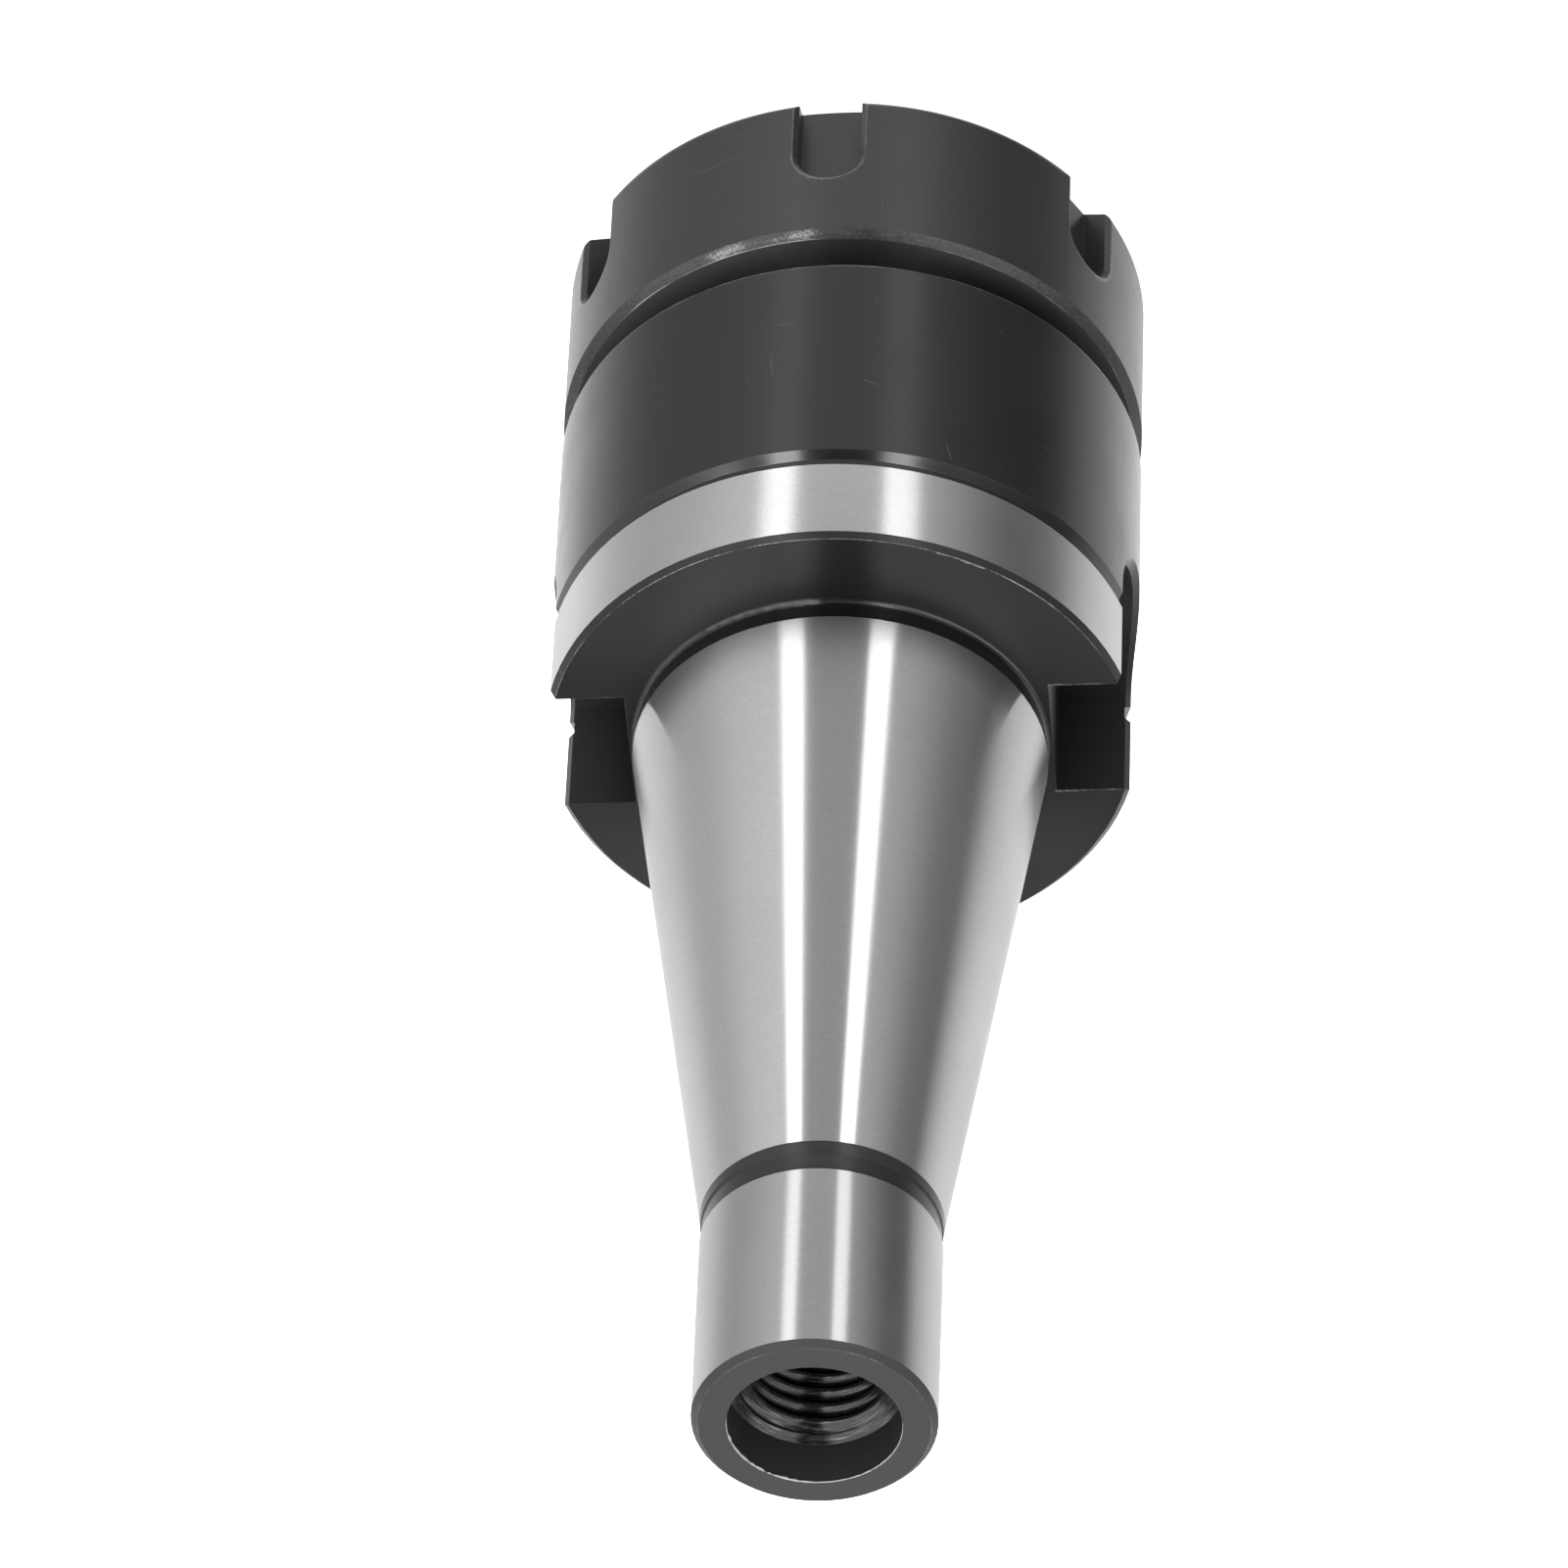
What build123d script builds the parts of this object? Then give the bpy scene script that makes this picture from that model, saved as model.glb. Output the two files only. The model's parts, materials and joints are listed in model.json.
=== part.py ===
from build123d import *
import os
from math import cos, radians, sin, tan

# Collet chuck holder with a 7:24 taper shank, its clamping nut and its spring collet.
# Millimetres. The origin is the centre of the nut's front face and +Z runs up the
# shank to its draw-bar end. The drive slots lie along X.

# Spindle taper, 7:24 size 40, measured from the flange face that meets the spindle
GAUGE_DIAMETER = 44.45
TAPER_RATE = 7 / 24  # change of diameter for each millimetre along the axis
GAUGE_STANDOFF = 1.6
TAPER_END = 67.8
TAPER_EDGE = 0.2
NECK_DIAMETER = 43.6
NECK_LENGTH = 2.4
NECK_FILLET = 0.5

# Relief and pilot at the draw-bar end
SHANK_RELIEF_WIDTH = 3.7
SHANK_RELIEF_DEPTH = 0.2
TAPER_END_BEVEL_WIDTH = 1.2
TAPER_END_BEVEL_DEPTH = 0.12
PILOT_DIAMETER = 25.0
PILOT_LENGTH = 23.5
PILOT_CHAMFER = 0.7

# Draw-bar hole
DRAW_BAR_THREAD = 16.0
DRAW_BAR_PITCH = 2.0
DRAW_BAR_THREAD_LENGTH = 30.0
COUNTERBORE_DIAMETER = 17.8
COUNTERBORE_DEPTH = 5.0
LEAD_IN_HALF_ANGLE = 60.0

# Body and flange
BODY_DIAMETER = 63.0
BODY_LENGTH = 41.0
BAND_WIDTH = 10.5
SHOULDER_CHAMFER = 0.4
FLANGE_CHAMFER = 0.6
GROOVE_WIDTH = 1.5
GROOVE_DEPTH = 0.8

# Drive slots in the flange, end-milled
DRIVE_SLOT_WIDTH = 16.1
DRIVE_SLOT_FLOOR = 22.5  # axis to floor
DRIVE_SLOT_STRAIGHT = 14.2
DRIVE_SLOT_CHAMFER = 0.75

# Threaded nose and collet socket
NOSE_THREAD = 50.0
NOSE_PITCH = 1.5
NOSE_LENGTH = 14.6
NOSE_CHAMFER = 1.0
NOSE_RELIEF_WIDTH = 3.0
NOSE_RELIEF_DEPTH = 0.5
SOCKET_MOUTH_DIAMETER = 40.0
SOCKET_MOUTH_CHAMFER = 0.3
SOCKET_HALF_ANGLE = 8.0
SOCKET_RUN_OUT = 1.85  # socket cone past the collet's rear face
REAR_BORE_STEP = 1.3
REAR_BORE_LENGTH = 29.0
DRILL_POINT_HALF_ANGLE = 59.0

# Spring collet, measured from its front face
COLLET_DIAMETER = 41.0
COLLET_LENGTH = 46.0
COLLET_GAUGE_DEPTH = 14.85  # front face to the plane where the rear cone fills the socket's mouth
COLLET_FRONT_HALF_ANGLE = 30.0
COLLET_FRONT_LENGTH = 6.5
COLLET_LAND_WIDTH = 1.5
COLLET_GROOVE_WIDTH = 4.0
COLLET_GROOVE_DEPTH = 1.9
COLLET_REAR_CHAMFER = 0.6
COLLET_BORE = 20.0
COLLET_BORE_CHAMFER = 0.8
SLIT_WIDTH = 0.8
SLITS_PER_END = 8
SLIT_REAR_WALL = 8.0
SLIT_FRONT_WALL = 5.5
SEAT_CLEARANCE = 0.03  # between mating cones, square to the surface

# Clamping nut, measured from its front face
NUT_DIAMETER = BODY_DIAMETER  # the nut runs flush with the body
NUT_LENGTH = 25.5
NUT_FRONT_FACE_DIAMETER = 45.5
NUT_FRONT_ANGLE = 30.0  # slope of the front cone from the front face
NUT_CORNER_RADIUS = 1.6
NUT_REAR_CHAMFER_LENGTH = 0.7
NUT_REAR_CHAMFER_DEPTH = 1.0
NUT_MOUTH_DIAMETER = 35.2
NUT_MOUTH_CHAMFER = 0.6
COLLET_RECESS = 0.8  # collet's front face behind the nut's
NUT_THREAD_CLEARANCE = 0.05
NUT_THREAD_CHAMFER = 0.8
NUT_UNDERCUT_WIDTH = 2.0
NUT_UNDERCUT_DEPTH = 0.5

# Extraction lip inside the nut, eccentric so that the collet can be tilted into it
POCKET_CLEARANCE = 1.1
LIP_THICKNESS = 2.6
LIP_PLAY = 0.5  # lip to the front wall of the collet's groove
LIP_CLEARANCE = 0.25
LIP_OFFSET = 1.2
LIP_CHAMFER = 0.4

# Spanner slots round the nut
SPANNER_SLOT_COUNT = 6
SPANNER_SLOT_WIDTH = 6.8
SPANNER_SLOT_WALL = 2.3  # slot's floor to the undercut inside
SPANNER_SLOT_STRAIGHT = 13.0
SPANNER_SLOT_CHAMFER = 0.6
SPANNER_SLOT_AZIMUTH = -88.5

# Heights along the axis and radii, from the sizes above
COLLET_FRONT = COLLET_RECESS
COLLET_REAR = COLLET_FRONT + COLLET_LENGTH
NOSE_FACE = COLLET_FRONT + COLLET_GAUGE_DEPTH
SHOULDER = NOSE_FACE + NOSE_LENGTH
FLANGE_FACE = SHOULDER + BODY_LENGTH
BAND_START = FLANGE_FACE - BAND_WIDTH
GAUGE_PLANE = FLANGE_FACE + GAUGE_STANDOFF
RELIEF_START = FLANGE_FACE + TAPER_END
PILOT_START = RELIEF_START + SHANK_RELIEF_WIDTH
SHANK_TOP = PILOT_START + PILOT_LENGTH
COUNTERBORE_FLOOR = SHANK_TOP - COUNTERBORE_DEPTH
THREAD_BOTTOM = COUNTERBORE_FLOOR - DRAW_BAR_THREAD_LENGTH
SOCKET_END = COLLET_REAR + SOCKET_RUN_OUT
REAR_BORE_END = SOCKET_END + REAR_BORE_LENGTH

SOCKET_SLOPE = tan(radians(SOCKET_HALF_ANGLE))
FRONT_SLOPE = tan(radians(COLLET_FRONT_HALF_ANGLE))
BODY_RADIUS = BODY_DIAMETER / 2
NOSE_ROOT_RADIUS = NOSE_THREAD / 2 - 0.6134 * NOSE_PITCH
NUT_THREAD_RADIUS = NOSE_THREAD / 2 + NUT_THREAD_CLEARANCE
TAP_DRILL_RADIUS = DRAW_BAR_THREAD / 2 - 0.5413 * DRAW_BAR_PITCH
COLLET_RADIUS = COLLET_DIAMETER / 2
LIP_RADIUS = COLLET_RADIUS + LIP_CLEARANCE


def socket_radius(height):
    """Radius of the collet socket's cone at a height."""
    return SOCKET_MOUTH_DIAMETER / 2 - (height - NOSE_FACE) * SOCKET_SLOPE


def taper_radius(height):
    """Radius of the spindle taper at a height."""
    return (GAUGE_DIAMETER - (height - GAUGE_PLANE) * TAPER_RATE) / 2


def turned(points):
    """Solid of revolution about Z from its outline of (radius, height) points."""
    outline = make_face(Plane.XZ * Polyline(*points, close=True))
    return revolve(outline, Axis.Z)


def ring_edges(part, radius, height):
    """Circular edges about Z at a radius and a height."""
    return part.edges().filter_by(GeomType.CIRCLE).filter_by(
        lambda edge: abs(edge.radius - radius) < 0.001 and abs(edge.arc_center.Z - height) < 0.001
    )


def end_milled_slot(width, floor, reach, round_centre, open_end):
    """Cutter for a slot along Z on the +X side, with the round end that an end mill leaves."""
    straight = Pos(0, (round_centre + open_end) / 2) * Rectangle(width, abs(open_end - round_centre))
    outline = straight + Pos(0, round_centre) * Circle(width / 2)
    return extrude(Plane.YZ.offset(floor) * outline, reach - floor)


def slot_mouth_edges(part, radius):
    """Edges where slots break through the outer cylinder, without its rims and its seam."""

    def is_mouth(edge):
        points = [edge.position_at(share) for share in (0, 0.25, 0.5, 0.75, 1)]
        on_cylinder = all(abs((p.X**2 + p.Y**2) ** 0.5 - radius) < 0.001 for p in points)
        level = max(p.Z for p in points) - min(p.Z for p in points) < 0.001
        seam = all(abs(p.Y) < 0.001 for p in points)
        return on_cylinder and not level and not seam

    return part.edges().filter_by(is_mouth)


def make_holder_body():
    """Holder turned from one bar, with its drive slots milled last."""
    neck_radius = NECK_DIAMETER / 2
    taper_start = FLANGE_FACE + NECK_LENGTH
    shank_relief_radius = PILOT_DIAMETER / 2 - SHANK_RELIEF_DEPTH
    taper_end_radius = taper_radius(RELIEF_START) - TAPER_END_BEVEL_DEPTH
    relief_edge = abs(taper_end_radius - shank_relief_radius)
    nose_relief_radius = NOSE_ROOT_RADIUS - NOSE_RELIEF_DEPTH
    counterbore_radius = COUNTERBORE_DIAMETER / 2
    thread_radius = DRAW_BAR_THREAD / 2
    lead_in = (counterbore_radius - thread_radius) / tan(radians(LEAD_IN_HALF_ANGLE))
    rear_bore_radius = socket_radius(SOCKET_END) - REAR_BORE_STEP
    drill_point = (rear_bore_radius - TAP_DRILL_RADIUS) / tan(radians(DRILL_POINT_HALF_ANGLE))
    mouth_cone = SOCKET_MOUTH_CHAMFER / 2

    outside = [
        (NOSE_ROOT_RADIUS - NOSE_CHAMFER, NOSE_FACE),
        (NOSE_ROOT_RADIUS, NOSE_FACE + NOSE_CHAMFER),
        (NOSE_ROOT_RADIUS, SHOULDER - NOSE_RELIEF_WIDTH),
        (nose_relief_radius, SHOULDER - NOSE_RELIEF_WIDTH + NOSE_RELIEF_DEPTH),
        (nose_relief_radius, SHOULDER),
        (BODY_RADIUS - SHOULDER_CHAMFER, SHOULDER),
        (BODY_RADIUS, SHOULDER + SHOULDER_CHAMFER),
        (BODY_RADIUS, FLANGE_FACE),
        (neck_radius, FLANGE_FACE),
        (neck_radius, taper_start),
        (taper_radius(taper_start) - TAPER_EDGE, taper_start),
        (taper_radius(taper_start + TAPER_EDGE), taper_start + TAPER_EDGE),
        (taper_radius(RELIEF_START), RELIEF_START),
        (taper_end_radius, RELIEF_START + TAPER_END_BEVEL_WIDTH),
        (shank_relief_radius, RELIEF_START + TAPER_END_BEVEL_WIDTH + relief_edge),
        (shank_relief_radius, PILOT_START - SHANK_RELIEF_DEPTH),
        (PILOT_DIAMETER / 2, PILOT_START),
        (PILOT_DIAMETER / 2, SHANK_TOP - PILOT_CHAMFER),
        (PILOT_DIAMETER / 2 - PILOT_CHAMFER, SHANK_TOP),
    ]
    inside = [
        (counterbore_radius, SHANK_TOP),
        (counterbore_radius, COUNTERBORE_FLOOR),
        (thread_radius, COUNTERBORE_FLOOR - lead_in),
        (thread_radius, THREAD_BOTTOM),
        (TAP_DRILL_RADIUS, THREAD_BOTTOM - (thread_radius - TAP_DRILL_RADIUS)),
        (TAP_DRILL_RADIUS, REAR_BORE_END + drill_point),
        (rear_bore_radius, REAR_BORE_END),
        (rear_bore_radius, SOCKET_END),
        (socket_radius(SOCKET_END), SOCKET_END),
        (socket_radius(NOSE_FACE + mouth_cone), NOSE_FACE + mouth_cone),
        (SOCKET_MOUTH_DIAMETER / 2 + SOCKET_MOUTH_CHAMFER, NOSE_FACE),
    ]
    body = turned(outside + inside)
    body = fillet(ring_edges(body, neck_radius, FLANGE_FACE), NECK_FILLET)

    slot = end_milled_slot(
        DRIVE_SLOT_WIDTH,
        DRIVE_SLOT_FLOOR,
        BODY_DIAMETER,
        FLANGE_FACE - DRIVE_SLOT_STRAIGHT,
        FLANGE_FACE + NECK_LENGTH,
    )
    body -= slot
    body -= Rot(0, 0, 180) * slot
    body = chamfer(slot_mouth_edges(body, BODY_RADIUS), DRIVE_SLOT_CHAMFER)

    thin_groove = turned(
        [
            (BODY_RADIUS - GROOVE_DEPTH, BAND_START),
            (BODY_DIAMETER, BAND_START),
            (BODY_DIAMETER, BAND_START - GROOVE_WIDTH - GROOVE_DEPTH - BODY_RADIUS),
            (BODY_RADIUS - GROOVE_DEPTH, BAND_START - GROOVE_WIDTH),
        ]
    )
    flange_bevel = turned(
        [
            (BODY_RADIUS - FLANGE_CHAMFER, FLANGE_FACE),
            (BODY_DIAMETER, FLANGE_FACE),
            (BODY_DIAMETER, FLANGE_FACE - FLANGE_CHAMFER - BODY_RADIUS),
        ]
    )
    return body - thin_groove - flange_bevel


def make_collet():
    """Double-angle spring collet, slit from both ends in turn so that it closes evenly."""
    land_start = COLLET_FRONT + COLLET_FRONT_LENGTH
    groove_start = land_start + COLLET_LAND_WIDTH
    groove_end = groove_start + COLLET_GROOVE_WIDTH
    groove_radius = COLLET_RADIUS - COLLET_GROOVE_DEPTH
    bore_radius = COLLET_BORE / 2

    def cone_radius(height):
        return socket_radius(height) - SEAT_CLEARANCE / cos(radians(SOCKET_HALF_ANGLE))

    body = turned(
        [
            (bore_radius + COLLET_BORE_CHAMFER, COLLET_FRONT),
            (COLLET_RADIUS - COLLET_FRONT_LENGTH * FRONT_SLOPE, COLLET_FRONT),
            (COLLET_RADIUS, land_start),
            (COLLET_RADIUS, groove_start),
            (groove_radius, groove_start),
            (groove_radius, groove_end),
            (cone_radius(groove_end), groove_end),
            (cone_radius(COLLET_REAR - COLLET_REAR_CHAMFER), COLLET_REAR - COLLET_REAR_CHAMFER),
            (cone_radius(COLLET_REAR) - COLLET_REAR_CHAMFER, COLLET_REAR),
            (bore_radius + COLLET_BORE_CHAMFER, COLLET_REAR),
            (bore_radius, COLLET_REAR - COLLET_BORE_CHAMFER),
            (bore_radius, COLLET_FRONT + COLLET_BORE_CHAMFER),
        ]
    )

    def slit(low, high):
        """Saw cut from the bore out through one side, between two heights."""
        blade = Box(COLLET_DIAMETER, SLIT_WIDTH, high - low, align=(Align.MIN, Align.CENTER, Align.MIN))
        return Pos(0, 0, low) * blade

    pitch = 360 / SLITS_PER_END
    for index in range(SLITS_PER_END):
        body -= Rot(0, 0, index * pitch) * slit(COLLET_FRONT - 1, COLLET_REAR - SLIT_REAR_WALL)
        body -= Rot(0, 0, (index + 0.5) * pitch) * slit(COLLET_FRONT + SLIT_FRONT_WALL, COLLET_REAR + 1)
    return body


def make_clamping_nut():
    """Nut with spanner slots outside, a cone and an eccentric extraction lip inside."""
    nut_radius = NUT_DIAMETER / 2
    front_radius = NUT_FRONT_FACE_DIAMETER / 2
    mouth_radius = NUT_MOUTH_DIAMETER / 2
    front_cone_end = (nut_radius - front_radius) * tan(radians(NUT_FRONT_ANGLE))

    # The inner cone lies one clearance outside the collet's front cone.
    collet_front_radius = COLLET_RADIUS - COLLET_FRONT_LENGTH * FRONT_SLOPE
    cone_offset = SEAT_CLEARANCE / cos(radians(COLLET_FRONT_HALF_ANGLE))

    def cone_height(radius):
        return COLLET_FRONT + (radius - cone_offset - collet_front_radius) / FRONT_SLOPE

    pocket_radius = COLLET_RADIUS + POCKET_CLEARANCE
    groove_start = COLLET_FRONT + COLLET_FRONT_LENGTH + COLLET_LAND_WIDTH
    lip_front = groove_start + LIP_PLAY
    lip_rear = lip_front + LIP_THICKNESS
    lip_blank_radius = LIP_RADIUS - 2 * LIP_OFFSET
    undercut_radius = NUT_THREAD_RADIUS + NUT_UNDERCUT_DEPTH

    blank = turned(
        [
            (mouth_radius + NUT_MOUTH_CHAMFER, 0),
            (nut_radius, 0),
            (nut_radius, NUT_LENGTH),
            (NUT_THREAD_RADIUS + NUT_THREAD_CHAMFER, NUT_LENGTH),
            (NUT_THREAD_RADIUS, NUT_LENGTH - NUT_THREAD_CHAMFER),
            (NUT_THREAD_RADIUS, lip_rear + NUT_UNDERCUT_WIDTH + NUT_UNDERCUT_DEPTH),
            (undercut_radius, lip_rear + NUT_UNDERCUT_WIDTH),
            (undercut_radius, lip_rear),
            (lip_blank_radius, lip_rear),
            (lip_blank_radius, lip_front),
            (pocket_radius, lip_front),
            (pocket_radius, cone_height(pocket_radius)),
            (mouth_radius, cone_height(mouth_radius)),
            (mouth_radius, NUT_MOUTH_CHAMFER),
        ]
    )
    lip_hole = turned(
        [
            (0, lip_front),
            (LIP_RADIUS + LIP_CHAMFER, lip_front),
            (LIP_RADIUS, lip_front + LIP_CHAMFER),
            (LIP_RADIUS, lip_rear - LIP_CHAMFER),
            (LIP_RADIUS + LIP_CHAMFER, lip_rear),
            (0, lip_rear),
        ]
    )
    blank -= Pos(LIP_OFFSET, 0, 0) * lip_hole

    slot_floor = undercut_radius + SPANNER_SLOT_WALL
    slot = end_milled_slot(SPANNER_SLOT_WIDTH, slot_floor, NUT_DIAMETER, SPANNER_SLOT_STRAIGHT, -1)
    for index in range(SPANNER_SLOT_COUNT):
        blank -= Rot(0, 0, SPANNER_SLOT_AZIMUTH + index * 360 / SPANNER_SLOT_COUNT) * slot
    slot_chamfer = min(SPANNER_SLOT_CHAMFER, (nut_radius - slot_floor) / 3)
    blank = chamfer(slot_mouth_edges(blank, nut_radius), slot_chamfer)

    envelope = turned(
        [
            (0, 0),
            (front_radius, 0),
            (nut_radius, front_cone_end),
            (nut_radius, NUT_LENGTH - NUT_REAR_CHAMFER_LENGTH),
            (nut_radius - NUT_REAR_CHAMFER_DEPTH, NUT_LENGTH),
            (0, NUT_LENGTH),
        ]
    )
    envelope = fillet(ring_edges(envelope, nut_radius, front_cone_end), NUT_CORNER_RADIUS)
    return blank & envelope


os.makedirs("parts", exist_ok=True)
NODES = {
    "holder_body": make_holder_body,
    "collet": make_collet,
    "clamping_nut": make_clamping_nut,
}
for name, make in NODES.items():
    export_step(make(), f"parts/{name}.step")
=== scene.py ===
import json
import logging
import math
from dataclasses import dataclass
from enum import Enum, IntEnum
from functools import partial

import bmesh
import bpy
from mathutils import Matrix, Vector, noise

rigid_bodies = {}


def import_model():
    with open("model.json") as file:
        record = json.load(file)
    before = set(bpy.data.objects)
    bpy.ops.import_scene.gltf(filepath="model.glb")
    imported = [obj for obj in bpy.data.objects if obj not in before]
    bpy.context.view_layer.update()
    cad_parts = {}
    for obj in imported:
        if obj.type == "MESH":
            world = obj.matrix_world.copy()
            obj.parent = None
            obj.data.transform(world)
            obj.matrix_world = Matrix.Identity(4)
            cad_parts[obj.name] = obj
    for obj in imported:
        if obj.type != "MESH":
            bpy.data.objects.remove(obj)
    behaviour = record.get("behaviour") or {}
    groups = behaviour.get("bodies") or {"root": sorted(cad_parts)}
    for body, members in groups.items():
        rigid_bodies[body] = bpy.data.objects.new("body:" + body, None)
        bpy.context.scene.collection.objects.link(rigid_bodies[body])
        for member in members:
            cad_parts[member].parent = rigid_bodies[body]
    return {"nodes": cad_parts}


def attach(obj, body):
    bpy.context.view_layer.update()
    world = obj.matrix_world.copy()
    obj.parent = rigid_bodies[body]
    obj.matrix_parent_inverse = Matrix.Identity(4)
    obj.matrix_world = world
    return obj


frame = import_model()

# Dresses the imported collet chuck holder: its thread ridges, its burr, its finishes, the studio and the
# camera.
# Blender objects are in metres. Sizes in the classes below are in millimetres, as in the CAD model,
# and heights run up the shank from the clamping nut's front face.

MM = 0.001
SAME = 0.01  # millimetres within which two lengths count as the same
LOG = logging.getLogger("collet_chuck")


class Body(Enum):
    """CAD bodies that pieces ride on."""

    HOLDER = "holder"
    COLLET = "collet"
    NUT = "nut"


class Slot(Enum):
    """Material slots of the record."""

    HOLDER = "holder_steel"
    COLLET = "collet_steel"
    NUT = "nut_steel"


class Node(Enum):
    """CAD nodes that are dressed."""

    HOLDER = "holder_body"
    COLLET = "collet"
    NUT = "clamping_nut"


class HolderFinish(IntEnum):
    """Finishes of the holder, by material slot."""

    OXIDE = 0
    GROUND = 1
    FACED = 2
    RIM = 3
    CUT = 4
    FLANGE = 5
    NECK = 6
    BORE = 7
    RELIEF = 8
    PILOT = 9
    CHAMFER = 10
    SLOT = 11


class NutFinish(IntEnum):
    """Finishes of the nut, by material slot."""

    OXIDE = 0
    RUBBED = 1
    FACED = 2


def linear(colour: str) -> tuple[float, float, float, float]:
    """Turn an sRGB hex colour into linear RGBA.

    Args:
        colour: Six hex digits after a hash sign.

    Returns:
        Red, green, blue and an alpha of 1.
    """
    channels = [int(colour[i : i + 2], 16) / 255 for i in (1, 3, 5)]
    red, green, blue = (c / 12.92 if c <= 0.04045 else ((c + 0.055) / 1.055) ** 2.4 for c in channels)
    return (red, green, blue, 1.0)


def add_node(
    tree: bpy.types.NodeTree, kind: str, settings: dict, links: dict | None = None
) -> bpy.types.Node:
    """Add a node with its settings and links.

    Args:
        tree: Node tree that the node joins.
        kind: Node's type name.
        settings: Values by property name, input name or input number.
        links: By the input name or number that they feed, output sockets, or nodes for their first output.

    Returns:
        The new node.
    """
    node = tree.nodes.new(kind)
    for key, value in settings.items():
        if isinstance(key, int) or key in node.inputs:
            node.inputs[key].default_value = value
        else:
            setattr(node, key, value)
    for key, source in (links or {}).items():
        socket = source.outputs[0] if isinstance(source, bpy.types.Node) else source
        tree.links.new(socket, node.inputs[key])
    return node


@dataclass(frozen=True)
class LatheField:
    """Sockets that describe a point of a turned surface."""

    millimetres: bpy.types.NodeSocket
    radius: bpy.types.NodeSocket
    height: bpy.types.NodeSocket
    azimuth: bpy.types.NodeSocket
    rings: bpy.types.NodeSocket

    @classmethod
    def in_tree(cls, tree: bpy.types.NodeTree, ring_pitch: float, ring_reach: float) -> "LatheField":
        """Build the field from Object coordinates.

        Args:
            tree: Node tree that the nodes join.
            ring_pitch: Spacing of the tool or grit marks, in millimetres.
            ring_reach: Length of a mark around the piece before it changes, in millimetres.

        Returns:
            The point in millimetres, its radius, height and azimuth, and a coordinate whose noise runs
            in rings.
        """
        add = partial(add_node, tree)
        place = add("ShaderNodeTexCoord", {})
        scaled = add(
            "ShaderNodeVectorMath", {"operation": "SCALE", "Scale": 1 / MM}, {0: place.outputs["Object"]}
        )
        flat = add("ShaderNodeVectorMath", {"operation": "MULTIPLY", 1: (1, 1, 0)}, {0: scaled})
        radius = add("ShaderNodeVectorMath", {"operation": "LENGTH"}, {0: flat})
        split = add("ShaderNodeSeparateXYZ", {}, {0: scaled})
        azimuth = add("ShaderNodeMath", {"operation": "ARCTAN2"}, {0: split.outputs["Y"], 1: split.outputs["X"]})
        # Along the outline, height and radius both move from ring to ring.
        outline = add(
            "ShaderNodeMath",
            {"operation": "MULTIPLY_ADD", 1: 1.37},
            {0: radius.outputs["Value"], 2: split.outputs["Z"]},
        )
        lathe = add(
            "ShaderNodeCombineXYZ", {}, {0: split.outputs["X"], 1: split.outputs["Y"], 2: outline}
        )
        rings = add(
            "ShaderNodeVectorMath",
            {"operation": "MULTIPLY", 1: (1 / ring_reach, 1 / ring_reach, 1 / ring_pitch)},
            {0: lathe},
        )
        return cls(
            millimetres=scaled.outputs[0],
            radius=radius.outputs["Value"],
            height=split.outputs["Z"],
            azimuth=azimuth.outputs[0],
            rings=rings.outputs[0],
        )


@dataclass(frozen=True)
class BareSteelEdge:
    """An edge drawn as bare steel: where its finish has been rubbed or nicked through, and on the nut's chamfer
    also as a painted highlight.
    """

    width: float  # how far from the edge wear reaches, in millimetres
    share: float  # how much of the edge is worn: about half at 0.5, and nearly all at 1.3
    strength: float = 1.0  # 1 for bare steel, less where only part of the oxide is gone

    def distance(self, tree: bpy.types.NodeTree, lathe: LatheField) -> bpy.types.NodeSocket:
        """Measure how far a point is from the edge.

        Args:
            tree: Node tree that the nodes join.
            lathe: Field of the turned surface.

        Returns:
            A socket with the distance in millimetres.
        """
        raise NotImplementedError


@dataclass(frozen=True)
class TurnedEdge(BareSteelEdge):
    """Circular edge about the axis, worn all round or mostly on one side; on the nut's chamfer the one-sided
    line is a painted highlight.
    """

    radius: float = 0.0
    height: float = 0.0
    azimuth: float = 0.0
    reach: float = 0.0  # half the arc that is worn, in degrees, or 0 for all round

    def distance(self, tree: bpy.types.NodeTree, lathe: LatheField) -> bpy.types.NodeSocket:
        """Measure how far a point is from the edge, as further off outside the worn arc.

        Args:
            tree: Node tree that the nodes join.
            lathe: Field of the turned surface.

        Returns:
            A socket with the distance in millimetres.
        """
        add = partial(add_node, tree)
        here = add("ShaderNodeCombineXYZ", {}, {0: lathe.radius, 1: lathe.height})
        away = add(
            "ShaderNodeVectorMath", {"operation": "DISTANCE", 1: (self.radius, self.height, 0)}, {0: here}
        ).outputs["Value"]
        if not self.reach:
            return away
        turned = add(
            "ShaderNodeMath", {"operation": "SUBTRACT", 1: math.radians(self.azimuth)}, {0: lathe.azimuth}
        )
        folded = add("ShaderNodeMath", {"operation": "WRAP", 1: math.pi, 2: -math.pi}, {0: turned})
        off = add("ShaderNodeMath", {"operation": "ABSOLUTE"}, {0: folded})
        past = add(
            "ShaderNodeMapRange",
            {
                "From Min": math.radians(0.6 * self.reach),
                "From Max": math.radians(1.2 * self.reach),
                "To Min": 0.0,
                "To Max": self.width,
            },
            {"Value": off},
        )
        return add("ShaderNodeMath", {"operation": "ADD"}, {0: away, 1: past}).outputs[0]


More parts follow.
